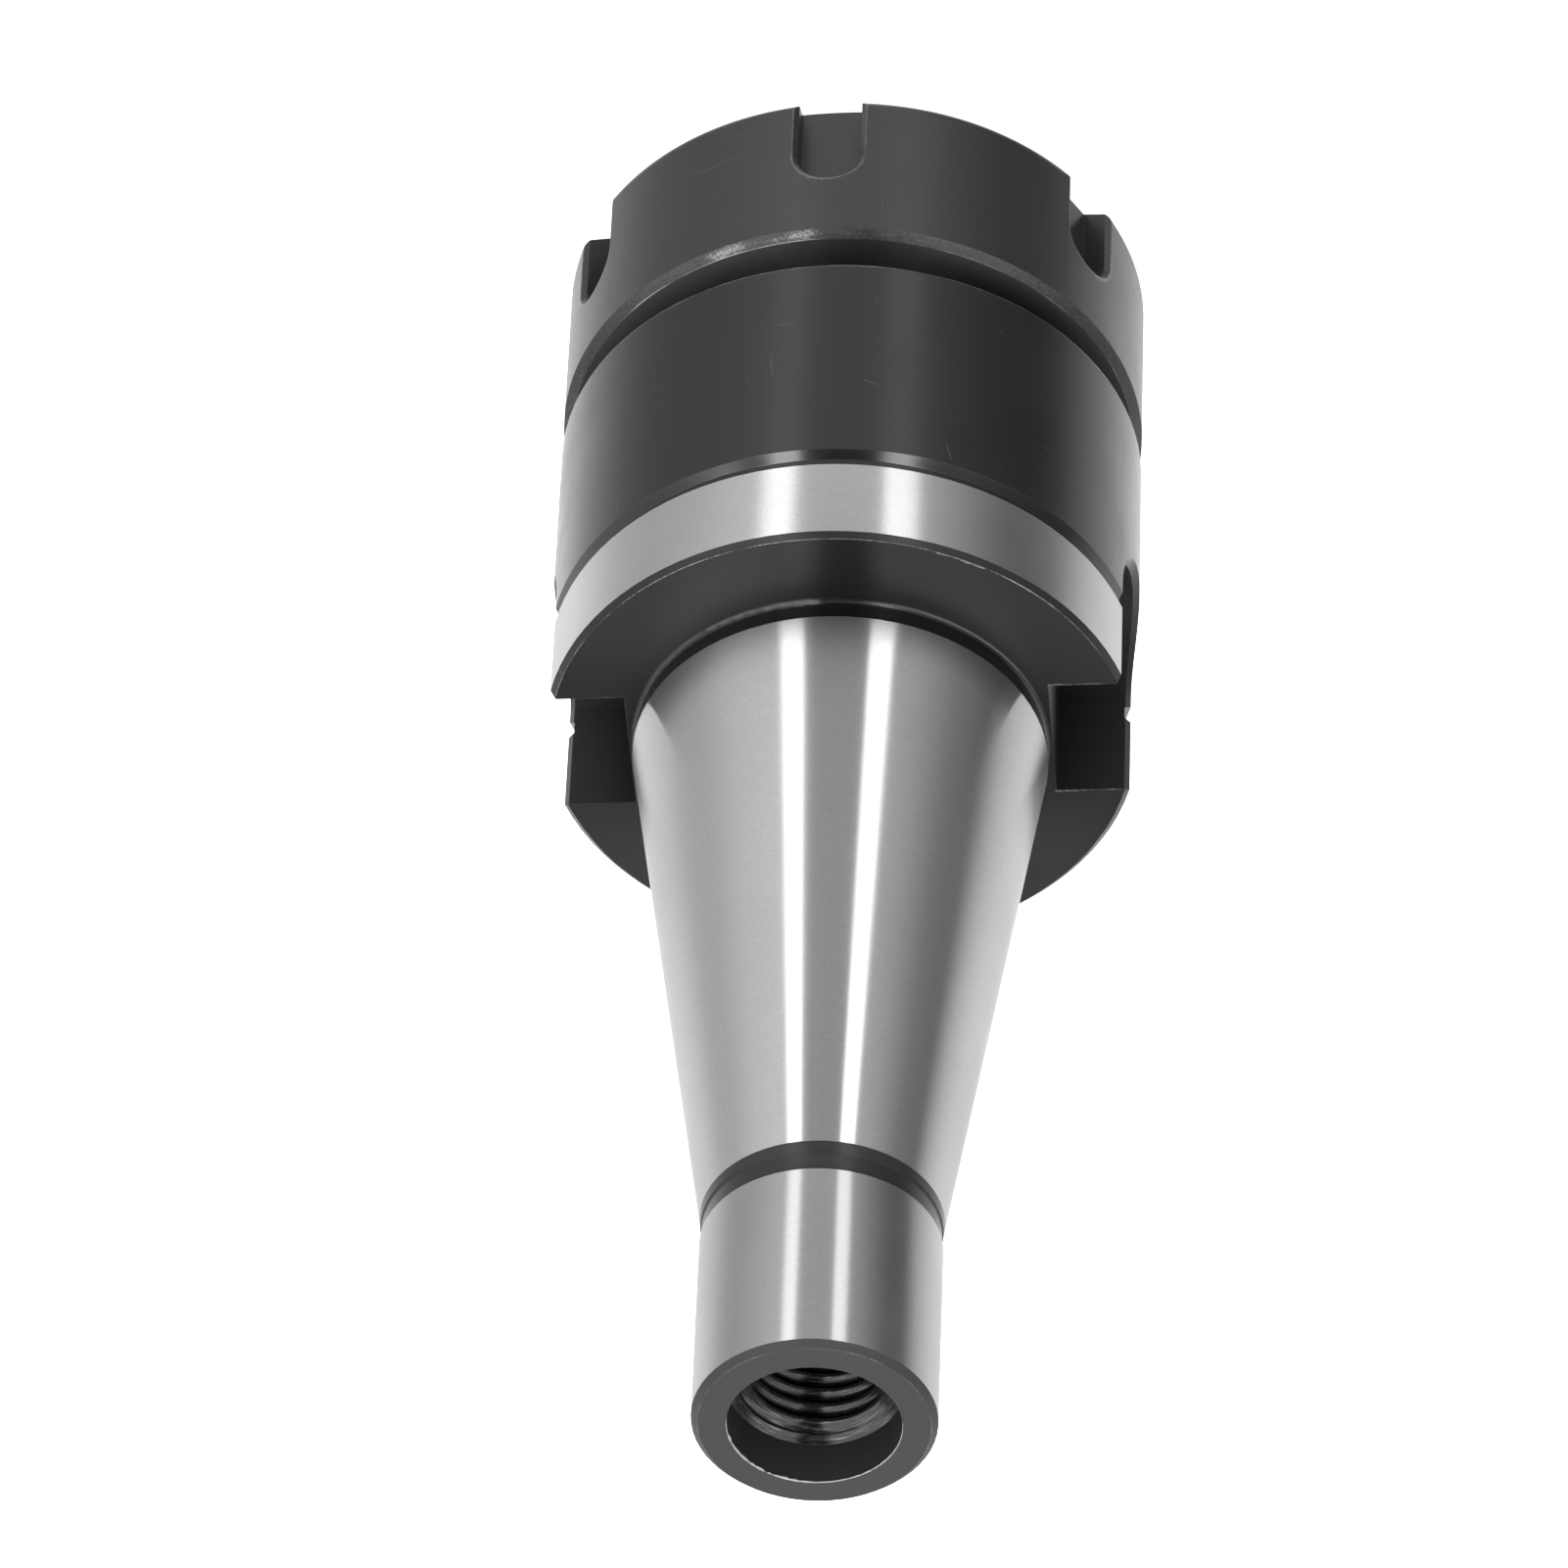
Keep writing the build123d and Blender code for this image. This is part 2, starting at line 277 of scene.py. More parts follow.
@dataclass(frozen=True)
class ThreadCrest(BareSteelEdge):
    """Crest of a thread, which the mating part has rubbed at every turn."""

    radius: float = 0.0

    def distance(self, tree: bpy.types.NodeTree, lathe: LatheField) -> bpy.types.NodeSocket:
        """Measure how far a point is from the crest, along the radius.

        Args:
            tree: Node tree that the nodes join.
            lathe: Field of the turned surface.

        Returns:
            A socket with the distance in millimetres.
        """
        add = partial(add_node, tree)
        deep = add("ShaderNodeMath", {"operation": "SUBTRACT", 1: self.radius}, {0: lathe.radius})
        return add("ShaderNodeMath", {"operation": "ABSOLUTE"}, {0: deep}).outputs[0]


@dataclass(frozen=True)
class SpannerSlotEdge(BareSteelEdge):
    """Mouths of the slots milled into the nut from its front, all alike."""

    count: int = 6
    azimuth: float = -88.5
    half_width: float = 4.0
    round_centre: float = 13.0
    floor: float = 27.85  # radius of the slots' floor, inside which nothing is worn

    def distance(self, tree: bpy.types.NodeTree, lathe: LatheField) -> bpy.types.NodeSocket:
        """Measure how far a point is from the nearest mouth, with the round end drawn broader.

        Args:
            tree: Node tree that the nodes join.
            lathe: Field of the turned surface.

        Returns:
            A socket with the distance in millimetres.
        """
        add = partial(add_node, tree)
        pitch = 2 * math.pi / self.count
        turned = add(
            "ShaderNodeMath", {"operation": "SUBTRACT", 1: math.radians(self.azimuth)}, {0: lathe.azimuth}
        )
        folded = add("ShaderNodeMath", {"operation": "WRAP", 1: pitch / 2, 2: -pitch / 2}, {0: turned})
        across = add("ShaderNodeMath", {"operation": "MULTIPLY"}, {0: folded, 1: lathe.radius})
        up = add("ShaderNodeMath", {"operation": "SUBTRACT", 1: self.round_centre}, {0: lathe.height})
        up = add("ShaderNodeMath", {"operation": "MAXIMUM", 1: 0.0}, {0: up})
        place = add("ShaderNodeCombineXYZ", {}, {0: across, 1: up})
        out = add("ShaderNodeVectorMath", {"operation": "LENGTH"}, {0: place})
        past = add(
            "ShaderNodeMath", {"operation": "SUBTRACT", 1: self.half_width}, {0: out.outputs["Value"]}
        )
        away = add("ShaderNodeMath", {"operation": "ABSOLUTE"}, {0: past})
        broader = add("ShaderNodeMath", {"operation": "MULTIPLY_ADD", 1: 0.6, 2: 1.0}, {0: up})
        narrowed = add("ShaderNodeMath", {"operation": "DIVIDE"}, {0: away, 1: broader})
        # On the front cone and face, inside the slots, the distance grows past any wear.
        below = add(
            "ShaderNodeMapRange",
            {"From Min": self.floor + 0.5, "From Max": self.floor, "To Min": 0.0, "To Max": 9.0},
            {"Value": lathe.radius},
        )
        return add("ShaderNodeMath", {"operation": "ADD"}, {0: narrowed, 1: below}).outputs[0]


@dataclass(frozen=True)
class DriveSlotEdge(BareSteelEdge):
    """Edges of the two drive slots in the flange's face."""

    side: float = 8.05  # half the slots' width
    height: float = 71.25
    floor: float = 22.5  # from the axis to the slots' floor

    def distance(self, tree: bpy.types.NodeTree, lathe: LatheField) -> bpy.types.NodeSocket:
        """Measure how far a point is from the nearest edge.

        Args:
            tree: Node tree that the nodes join.
            lathe: Field of the turned surface.

        Returns:
            A socket with the distance in millimetres.
        """
        add = partial(add_node, tree)
        mirrored = add("ShaderNodeVectorMath", {"operation": "ABSOLUTE"}, {0: lathe.millimetres})
        nearest = add(
            "ShaderNodeVectorMath", {"operation": "MAXIMUM", 1: (self.floor, 0.0, 0.0)}, {0: mirrored}
        )
        edge = add(
            "ShaderNodeVectorMath",
            {"operation": "MULTIPLY_ADD", 1: (1, 0, 0), 2: (0, self.side, self.height)},
            {0: nearest},
        )
        return add(
            "ShaderNodeVectorMath", {"operation": "DISTANCE"}, {0: mirrored, 1: edge}
        ).outputs["Value"]


@dataclass(frozen=True)
class GroundSteel:
    """Hardened tool steel, cylindrically ground.

    It is bright, and its fine rings stretch reflections along the axis.
    """

    name: str
    colour: str = "#c9c9ca"
    roughness: float = 0.22
    anisotropy: float = 1.0
    grit_pitch: float = 0.3  # real grit marks are about 0.05 mm apart, too fine for the render
    grit_reach: float = 4.0
    grit_contrast: float = 0.07
    grain_scale: float = 3.5  # per millimetre: the matt grain between the rings, about 0.3 mm across
    edge_colour: str = "#dedede"  # steel reflects a little less just before grazing

    def build(self) -> bpy.types.Material:
        """Make the material.

        Returns:
            The material, ready for an object's slot.
        """
        material = bpy.data.materials.new(self.name)
        material.use_nodes = True
        tree = material.node_tree
        tree.nodes.clear()
        lathe = LatheField.in_tree(tree, self.grit_pitch, self.grit_reach)
        add = partial(add_node, tree)
        grit = add(
            "ShaderNodeTexNoise", {"Scale": 1.0, "Detail": 3.0, "Roughness": 0.6}, {"Vector": lathe.rings}
        )
        cloud = add("ShaderNodeTexNoise", {"Scale": 0.06, "Detail": 3.0}, {"Vector": lathe.millimetres})
        grain = add(
            "ShaderNodeTexNoise", {"Scale": self.grain_scale, "Detail": 2.0}, {"Vector": lathe.millimetres}
        )
        marks = add(
            "ShaderNodeMath",
            {"operation": "MULTIPLY_ADD", 1: 0.5},
            {0: grit.outputs["Fac"], 2: grain.outputs["Fac"]},
        )
        shade = add(
            "ShaderNodeMapRange",
            {"From Min": 0.5, "From Max": 1.0, "To Min": 1 - self.grit_contrast, "To Max": 1.0},
            {"Value": marks},
        )
        base = add(
            "ShaderNodeMix",
            {"data_type": "RGBA", "blend_type": "MULTIPLY", 0: 1.0, 6: linear(self.colour)},
            {7: shade},
        )
        roughness = add(
            "ShaderNodeMapRange",
            {
                "From Min": 0.35,
                "From Max": 0.65,
                "To Min": self.roughness - 0.02,
                "To Max": self.roughness + 0.02,
            },
            {"Value": cloud.outputs["Fac"]},
        )
        rounded = add("ShaderNodeBevel", {"samples": 4, "Radius": 0.1 * MM})
        tangent = add("ShaderNodeTangent", {"direction_type": "RADIAL", "axis": "Z"})
        shader = add(
            "ShaderNodeBsdfPrincipled",
            {
                "Metallic": 1.0,
                "Anisotropic": self.anisotropy,
                "Anisotropic Rotation": 0.25,
                "Specular Tint": linear(self.edge_colour),
            },
            {"Base Color": base.outputs[2], "Roughness": roughness, "Normal": rounded, "Tangent": tangent},
        )
        add("ShaderNodeOutputMaterial", {}, {"Surface": shader})
        return material


@dataclass(frozen=True)
class BlackOxideSteel:
    """Turned steel blackened in a hot oxide bath.

    The skin is dark and satin, and thin enough that rubbed edges show bare steel.
    """

    name: str
    colour: str = "#222223"
    bare_colour: str = "#b9b9ba"
    ior: float = 1.55
    roughness: float = 0.34
    anisotropy: float = 0.5
    ring_pitch: float = 0.3  # real turning marks are about 0.1 mm apart, too fine for the render
    ring_reach: float = 18.0
    ring_depth: float = 0.006
    edges: tuple[BareSteelEdge, ...] = ()
    edge_radius: float = 0.15  # how far the shading rounds sharp edges, in millimetres
    hairlines: float = 0.0  # strength of the handling scratches
    rubbed: float = 0.0  # strength of the fine rub marks all over
    streaks: float = 0.0  # strength of bright tool marks along the rings
    oil: float = 0.0  # weight of the thin coat of rust-preventing oil
    oil_roughness: float = 0.26
    cloud_shade: float = 0.8  # colour of the darkest clouds in the oxide, as a share of the lightest
    nick_scale: float = 3.2  # nicks per millimetre, real ones being 0.1 to 0.4 mm across

    def build(self) -> bpy.types.Material:
        """Make the material.

        Returns:
            The material, ready for an object's slot.
        """
        material = bpy.data.materials.new(self.name)
        material.use_nodes = True
        tree = material.node_tree
        tree.nodes.clear()
        add = partial(add_node, tree)
        lathe = LatheField.in_tree(tree, self.ring_pitch, self.ring_reach)
        rings = add(
            "ShaderNodeTexNoise", {"Scale": 1.0, "Detail": 3.0, "Roughness": 0.55}, {"Vector": lathe.rings}
        )
        cloud = add("ShaderNodeTexNoise", {"Scale": 0.09, "Detail": 4.0}, {"Vector": lathe.millimetres})
        oxide = add(
            "ShaderNodeMix",
            {
                "data_type": "RGBA",
                6: linear(self.colour),
                7: (*(self.cloud_shade * c for c in linear(self.colour)[:3]), 1.0),
            },
            {0: cloud.outputs["Fac"]},
        )
        skin = {"Base Color": oxide.outputs[2]}
        worn = self._bare_steel_mask(tree, lathe, rings.outputs["Fac"])
        if worn is not None:
            bared = add(
                "ShaderNodeMix",
                {"data_type": "RGBA", 7: linear(self.bare_colour)},
                {0: worn, 6: oxide.outputs[2]},
            )
            skin = {"Base Color": bared.outputs[2], "Metallic": worn}
        roughness = add(
            "ShaderNodeMapRange",
            {
                "From Min": 0.3,
                "From Max": 0.7,
                "To Min": self.roughness - 0.04,
                "To Max": self.roughness + 0.04,
            },
            {"Value": cloud.outputs["Fac"]},
        )
        rounded = add("ShaderNodeBevel", {"samples": 4, "Radius": self.edge_radius * MM})
        bump = add(
            "ShaderNodeBump",
            {"Strength": 0.3, "Distance": self.ring_depth * MM},
            {"Height": rings.outputs["Fac"], "Normal": rounded},
        )
        tangent = add("ShaderNodeTangent", {"direction_type": "RADIAL", "axis": "Z"})
        shader = add(
            "ShaderNodeBsdfPrincipled",
            {
                "IOR": self.ior,
                "Anisotropic": self.anisotropy,
                "Anisotropic Rotation": 0.25,
                "Coat Weight": self.oil,
                "Coat Roughness": self.oil_roughness,
            },
            {**skin, "Roughness": roughness, "Normal": bump, "Tangent": tangent},
        )
        add("ShaderNodeOutputMaterial", {}, {"Surface": shader})
        return material

    def _bare_steel_mask(
        self, tree: bpy.types.NodeTree, lathe: LatheField, rings: bpy.types.NodeSocket
    ) -> bpy.types.Node | None:
        """Mask of the places drawn as bare steel: where the oxide is gone, and on the nut's chamfer also a
        painted highlight line.

        Args:
            tree: Node tree that the nodes join.
            lathe: Field of the turned surface.
            rings: Noise of the turning marks.

        Returns:
            A node that is 1 on bare steel and 0 on oxide, or None for a finish that is oxide all over.
        """
        if not (self.edges or self.rubbed or self.streaks or self.hairlines):
            return None
        add = partial(add_node, tree)
        nicks = add(
            "ShaderNodeTexNoise",
            {"Scale": self.nick_scale, "Detail": 4.0, "Roughness": 0.65},
            {"Vector": lathe.millimetres},
        ).outputs["Fac"]
        drift = add(
            "ShaderNodeTexNoise", {"Scale": 0.16, "Detail": 2.0}, {"Vector": lathe.millimetres}
        ).outputs["Fac"]
        # Nicks and their slow drift along the edge average 0 together.
        chance = add(
            "ShaderNodeMath", {"operation": "MULTIPLY_ADD", 1: 1.6, 2: -1.3}, {0: drift}
        ).outputs[0]
        chance = add("ShaderNodeMath", {"operation": "ADD"}, {0: chance, 1: nicks}).outputs[0]
        masks = []
        for edge in self.edges:
            near = add(
                "ShaderNodeMapRange",
                {"From Min": edge.width, "From Max": 0.0, "To Min": -0.8, "To Max": 1.0},
                {"Value": edge.distance(tree, lathe)},
            )
            level = add("ShaderNodeMath", {"operation": "ADD"}, {0: near, 1: chance})
            bare = 1.25 - 0.5 * edge.share
            masks.append((level, bare, bare + 0.3, edge.strength))
        if self.rubbed:
            masks.append((nicks, 0.62, 0.36, self.rubbed))
        if self.streaks:
            masks.append((rings, 0.54, 0.66, self.streaks))
        drawn = [
            add(
                "ShaderNodeMapRange",
                {"From Min": first, "From Max": last, "To Min": 0.0, "To Max": strength},
                {"Value": source},
            )
            for source, first, last, strength in masks
        ]
        if self.hairlines:
            drawn += self._hairlines(tree, lathe)
        total = None
        for mask in drawn:
            if total is not None:
                mask = add("ShaderNodeMath", {"operation": "MAXIMUM"}, {0: total, 1: mask})
            total = mask
        return total

    def _hairlines(self, tree: bpy.types.NodeTree, lathe: LatheField) -> list[bpy.types.Node]:
        """Masks of a few short handling scratches, nearly straight and in small groups.

        Args:
            tree: Node tree that the nodes join.
            lathe: Field of the turned surface.

        Returns:
            Nodes that are above 0 along the scratches, one for each group.
        """
        add = partial(add_node, tree)
        bend = add(
            "ShaderNodeTexNoise", {"Scale": 0.08, "Detail": 1.0}, {"Vector": lathe.millimetres}
        ).outputs["Fac"]
        # Each group: how the scratches repeat across their run, per millimetre, and which places they take.
        groups = (((0.32, 0.24, 0.05), (40.0, 7.0, 90.0)), ((0.1, -0.14, 0.3), (-15.0, 60.0, 20.0)))
        masks = []
        for across, shift in groups:
            along = add(
                "ShaderNodeVectorMath", {"operation": "DOT_PRODUCT", 1: across}, {0: lathe.millimetres}
            )
            bent = add(
                "ShaderNodeMath",
                {"operation": "MULTIPLY_ADD", 1: 1.5},
                {0: bend, 2: along.outputs["Value"]},
            )
            cell = add("ShaderNodeMath", {"operation": "FRACT"}, {0: bent})
            line = add("ShaderNodeMath", {"operation": "COMPARE", 1: 0.5, 2: 0.012}, {0: cell})
            moved = add("ShaderNodeVectorMath", {"operation": "ADD", 1: shift}, {0: lathe.millimetres})
            where = add("ShaderNodeTexNoise", {"Scale": 0.14, "Detail": 1.0}, {"Vector": moved})
            piece = add(
                "ShaderNodeMapRange",
                {"From Min": 0.69, "From Max": 0.74, "To Min": 0.0, "To Max": self.hairlines},
                {"Value": where.outputs["Fac"]},
            )
            masks.append(add("ShaderNodeMath", {"operation": "MULTIPLY"}, {0: line, 1: piece}))
        return masks


@dataclass(frozen=True)
class Paper:
    """Matt white background paper."""

    name: str = "white_background_paper"
    colour: str = "#f7f7f7"
    glow: float = 1.0  # lifts the paper to the clipped white of the photograph

    def build(self) -> bpy.types.Material:
        """Make the material.

        Returns:
            The material, ready for an object's slot.
        """
        material = bpy.data.materials.new(self.name)
        material.use_nodes = True
        shader = material.node_tree.nodes["Principled BSDF"]
        shader.inputs["Base Color"].default_value = linear(self.colour)
        shader.inputs["Roughness"].default_value = 0.9
        shader.inputs["Emission Color"].default_value = linear(self.colour)
        shader.inputs["Emission Strength"].default_value = self.glow
        return material


@dataclass(frozen=True)
class ThreadRidge:
    """The ridge of a right-handed metric thread, coiled on a plain turned wall."""

    name: str
    body: Body
    slot: Slot
    root: float
    crest: float
    crest_width: float
    pitch: float
    low: float
    high: float
    level: float  # height of the ridge's middle at the +X side, give or take whole turns
    sunk: float = 0.08
    steps_per_turn: int = 72
    run_out: float = 50.0
    lead_in_radius: float = 0.0  # where a 60 degree countersink cuts the ridge back, or 0 for none
    lead_in_height: float = 0.0

    def build(self, finish: bpy.types.Material) -> bpy.types.Object:
        """Make the ridge and let it ride on its body.

        Args:
            finish: Material of the ridge.

        Returns:
            The ridge's object.
        """
        outward = 1.0 if self.crest > self.root else -1.0
        foot = self.root - outward * self.sunk
        half_crest = self.crest_width / 2
        half_root = half_crest + abs(self.crest - self.root) * math.tan(math.radians(30))
        edge = 0.12 * self.crest_width
        middle = (self.root + self.crest) / 2
        half_middle = (half_root + half_crest) / 2
        outline = [
            (foot, -half_root),
            (self.root, -half_root),
            (middle, -half_middle),
            (self.crest - outward * edge, -half_crest - 0.2 * edge),
            (self.crest, -half_crest + edge),
            (self.crest, half_crest - edge),
            (self.crest - outward * edge, half_crest + 0.2 * edge),
            (middle, half_middle),
            (self.root, half_root),
            (foot, half_root),
        ]
        start = self.low + half_root
        phase = 360 * ((start - self.level) / self.pitch % 1)
        turns = (self.high - half_root - start) / self.pitch
        steps = round(turns * self.steps_per_turn)
        mesh = bmesh.new()
        section = [mesh.verts.new((radius, 0.0, start + height)) for radius, height in outline]
        loop = [mesh.edges.new((a, b)) for a, b in zip(section, section[1:] + section[:1])]
        bmesh.ops.rotate(
            mesh, verts=section, cent=(0, 0, 0), matrix=Matrix.Rotation(math.radians(phase), 3, "Z")
        )
        bmesh.ops.spin(
            mesh,
            geom=section + loop,
            cent=(0, 0, 0),
            axis=(0, 0, 1),
            dvec=(0, 0, turns * self.pitch / steps),
            angle=2 * math.pi * turns,
            steps=steps,
            use_merge=False,
            use_duplicate=False,
        )
        bmesh.ops.holes_fill(mesh, edges=[e for e in mesh.edges if e.is_boundary], sides=0)
        self._fade_ends(mesh, start, phase, turns)
        if self.lead_in_radius:
            self._countersink(mesh)
        bmesh.ops.recalc_face_normals(mesh, faces=mesh.faces)
        bmesh.ops.scale(mesh, vec=(MM, MM, MM), verts=mesh.verts)
        return finished_piece(mesh, self.name, finish, self.body)

    def _fade_ends(self, mesh: bmesh.types.BMesh, start: float, phase: float, turns: float) -> None:
        """Sink the ridge into its wall over the last part of a turn at each end.

        Args:
            mesh: Ridge in millimetres.
            start: Height of the ridge's first section.
            phase: Azimuth of the first section, in degrees.
            turns: Number of turns of the ridge.
        """
        wall = self.root - math.copysign(0.5 * self.sunk, self.crest - self.root)
        for vertex in mesh.verts:
            radius = math.hypot(vertex.co.x, vertex.co.y)
            angle = math.degrees(math.atan2(vertex.co.y, vertex.co.x)) - phase
            whole = round((vertex.co.z - start) / self.pitch - angle / 360)
            travel = angle + 360 * whole
            from_end = min(travel, 360 * turns - travel)
            share = min(max(from_end / self.run_out, 0.0), 1.0)
            if share < 1.0 and (radius - wall) * (self.crest - self.root) > 0:
                target = wall + (radius - wall) * share
                vertex.co.x *= target / radius
                vertex.co.y *= target / radius

    def _countersink(self, mesh: bmesh.types.BMesh) -> None:
        """Cut the ridge back to the cone of the hole's lead-in.

        Args:
            mesh: Ridge in millimetres.
        """
        slope = math.tan(math.radians(60))
        for vertex in mesh.verts:
            radius = math.hypot(vertex.co.x, vertex.co.y)
            cone = self.lead_in_height - (self.lead_in_radius - radius) / slope
            if vertex.co.z <= cone:
                continue
            # Along the lower flank, which leans as the cone does, half the excess is down.
            down = (vertex.co.z - cone) / 2
            target = radius + slope * down
            vertex.co.z -= down
            if target > self.lead_in_radius + 0.02:
                # Beyond the cone the ridge shrinks to a thread inside the wall.
                target = self.lead_in_radius + 0.75 * self.sunk + 0.02 * (target - self.lead_in_radius)
                vertex.co.z = self.lead_in_height - 0.03 + 0.02 * down
            vertex.co.x *= target / radius
            vertex.co.y *= target / radius


def finished_piece(
    mesh: bmesh.types.BMesh, name: str, finish: bpy.types.Material, body: Body
) -> bpy.types.Object:
    """Turn a bmesh in metres into a smooth-shaded piece on its body.

    Args:
        mesh: The piece's mesh, which is freed.
        name: Name of the piece.
        finish: Material of the piece.
        body: CAD body that the piece rides on.

    Returns:
        The piece's object.
    """
    data = bpy.data.meshes.new(name)
    for face in mesh.faces:
        face.smooth = True
    for edge in mesh.edges:
        edge.smooth = edge.calc_face_angle(math.pi) < math.radians(35)
    mesh.to_mesh(data)
    mesh.free()
    data.materials.append(finish)
    piece = bpy.data.objects.new(name, data)
    bpy.context.scene.collection.objects.link(piece)
    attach(piece, body.value)
    return piece


@dataclass
class Holder:
    """Shank, flange, body and nose: black oxide all over, ground bright where it locates."""

    gauge_radius: float = 22.225
    gauge_plane: float = 72.85
    taper_rate: float = 7 / 48
    taper_start: float = 73.65
    taper_end: float = 139.05
    pilot_radius: float = 12.5
    pilot_start: float = 142.75
    shank_top: float = 166.25
    pilot_chamfer: float = 0.7
    flange_radius: float = 31.5
    band_start: float = 60.75
    flange_face: float = 71.25
    flange_chamfer: float = 0.6
    groove: float = 2.3
    slot_floor: float = 22.5
    shoulder: float = 30.25
    thread_bottom: float = 131.25
    thread_radius: float = 8.0
    thread_crest: float = 6.917
    nose_pitch: float = 1.5
    nose_level: float = 17.4
    counterbore_floor: float = 161.25
    counterbore_radius: float = 8.9
    lead_in_end: float = 160.73
    neck_end: float = 22.32  # radius where the neck's fillet meets the flange's face
    slot_side: float = 8.05
    bright_chamfer: float = 1.5  # from the band down to the groove's bright chamfer
    near: float = 0.1  # faces this close to a wall of the CAD solid belong to it

    def finish_at(self, centre: Vector, normal: Vector) -> HolderFinish:
        """Tell the finish of a face of the CAD solid.

        Args:
            centre: Centre of the face, in millimetres.
            normal: Its normal.

        Returns:
            The finish that the face gets.
        """
        radius = math.hypot(centre.x, centre.y)
        outward = (centre.x * normal.x + centre.y * normal.y) / max(radius, 0.001)
        if normal.z > 0.5:
            if centre.z > self.shank_top - self.pilot_chamfer:
                return HolderFinish.FACED
            if centre.z > self.lead_in_end and radius < self.counterbore_radius:
                return HolderFinish.CUT
            if self.band_start - self.groove < centre.z < self.band_start - self.bright_chamfer:
                if normal.z < 0.8:
                    return HolderFinish.CHAMFER
            if abs(centre.z - self.flange_face) < SAME and radius > self.neck_end:
                return HolderFinish.FLANGE
        beyond_floor = abs(centre.x) > self.slot_floor - self.near
        between_sides = abs(centre.y) < self.slot_side + self.near / 2
        if beyond_floor and between_sides and centre.z < self.flange_face - SAME:
            if abs(normal.x) < 0.3 or abs(abs(centre.x) - self.slot_floor) < self.near / 2:
                return HolderFinish.SLOT
        if self.flange_face - SAME < centre.z < self.taper_start and radius < self.neck_end + SAME:
            return HolderFinish.NECK
        if self.taper_end < centre.z < self.pilot_start and radius > self.counterbore_radius:
            return HolderFinish.RELIEF
        if outward < -0.95 and centre.z > self.counterbore_floor and radius > self.thread_radius:
            return HolderFinish.BORE
        if outward < 0.95:
            return HolderFinish.OXIDE
        if self.band_start < centre.z < self.flange_face - self.flange_chamfer:
            if radius > self.flange_radius - self.near:
                return HolderFinish.RIM
        if self.taper_start < centre.z < self.taper_end:
            wall = self.gauge_radius - (centre.z - self.gauge_plane) * self.taper_rate
            if abs(radius - wall) < 1.5 * self.near:
                return HolderFinish.GROUND
        if self.pilot_start < centre.z < self.shank_top - self.pilot_chamfer:
            if abs(radius - self.pilot_radius) < self.near:
                return HolderFinish.PILOT
        return HolderFinish.OXIDE

    def dress(self, node: bpy.types.Object) -> None:
        """Give the CAD node its finishes.

        Args:
            node: CAD node of the holder.
        """
        face_edge = self.flange_radius - self.flange_chamfer
        finishes = {
            # Fine turning under the oxide: satin, with a clear soft reflection of the strips.
            HolderFinish.OXIDE: BlackOxideSteel(
                "black_oxide_turned_steel",
                colour="#2a2a2b",
                ior=1.49,
                roughness=0.27,
                hairlines=0.2,
                edges=(
                    TurnedEdge(0.5, 1.25, 0.5, radius=self.flange_radius, height=self.shoulder + 0.4),
                    TurnedEdge(0.3, 0.95, radius=face_edge, height=self.flange_face),
                    TurnedEdge(0.12, 0.9, radius=self.flange_radius, height=self.band_start),
                ),
            ),
            # Ground where it locates: bright, with crisp strips along the taper.
            HolderFinish.GROUND: GroundSteel("ground_tool_steel"),
            # The pilot is ground too, and a shade duller.
            HolderFinish.PILOT: GroundSteel("ground_pilot_steel", colour="#c1c1c2"),
            # Faced end: an even matt grey.
            HolderFinish.FACED: BlackOxideSteel(
                "black_oxide_faced_steel",
                colour="#3a3a3b",
                ior=1.45,
                roughness=0.5,
                anisotropy=0.3,
                edge_radius=0.05,
                edges=(
                    TurnedEdge(0.22, 0.95, 0.5, self.pilot_radius - self.pilot_chamfer, self.shank_top),
                ),
            ),
            # Ground rim: the brightest band.
            HolderFinish.RIM: GroundSteel("ground_flange_rim_steel", colour="#d4d4d5"),
            HolderFinish.CUT: self.cut_thread("black_oxide_lead_in"),
            # Faced flange: rings draw the light out into a fan that is dark towards the camera.
            HolderFinish.FLANGE: BlackOxideSteel(
                "black_oxide_flange_face",
                colour="#131314",
                ior=1.65,
                roughness=0.34,
                anisotropy=0.88,
                edges=(
                    TurnedEdge(0.25, 0.85, radius=face_edge, height=self.flange_face),
                    TurnedEdge(1.3, 1.5, 1.0, face_edge, self.flange_face, azimuth=-118.0, reach=8.0),
                    DriveSlotEdge(0.9, 1.0, 0.5),
                ),
            ),
            # Undercut neck: nearly black, with one thin light line on its fillet.
            HolderFinish.NECK: BlackOxideSteel(
                "black_oxide_neck",
                colour="#161617",
                ior=1.85,
                roughness=0.21,
                anisotropy=0.3,
                edge_radius=0.45,
            ),
            # Bored wall: dull, a shade lighter than the body.
            HolderFinish.BORE: BlackOxideSteel("black_oxide_counterbore", colour="#38383a", roughness=0.4),
            # Relief groove: satin, with a soft grey sweep of the strips.
            HolderFinish.RELIEF: BlackOxideSteel(
                "black_oxide_relief_groove", colour="#343435", ior=1.42, roughness=0.3, edge_radius=0.3
            ),
            # Formed chamfer: burnished by its tool, so it mirrors the strips as two bright spots.
            HolderFinish.CHAMFER: BlackOxideSteel(
                "black_oxide_bright_chamfer",
                colour="#161617",
                ior=2.4,
                roughness=0.17,
                anisotropy=0.3,
                edge_radius=0.1,
            ),
            # Milled slots: matt and nearly black.
            HolderFinish.SLOT: BlackOxideSteel(
                "black_oxide_milled_slot",
                colour="#1b1b1c",
                ior=1.45,
                roughness=0.5,
                anisotropy=0.0,
                ring_reach=4.0,
                edges=(DriveSlotEdge(0.9, 1.0, 0.5),),
            ),
        }
        node.data.materials.clear()
        for finish in HolderFinish:
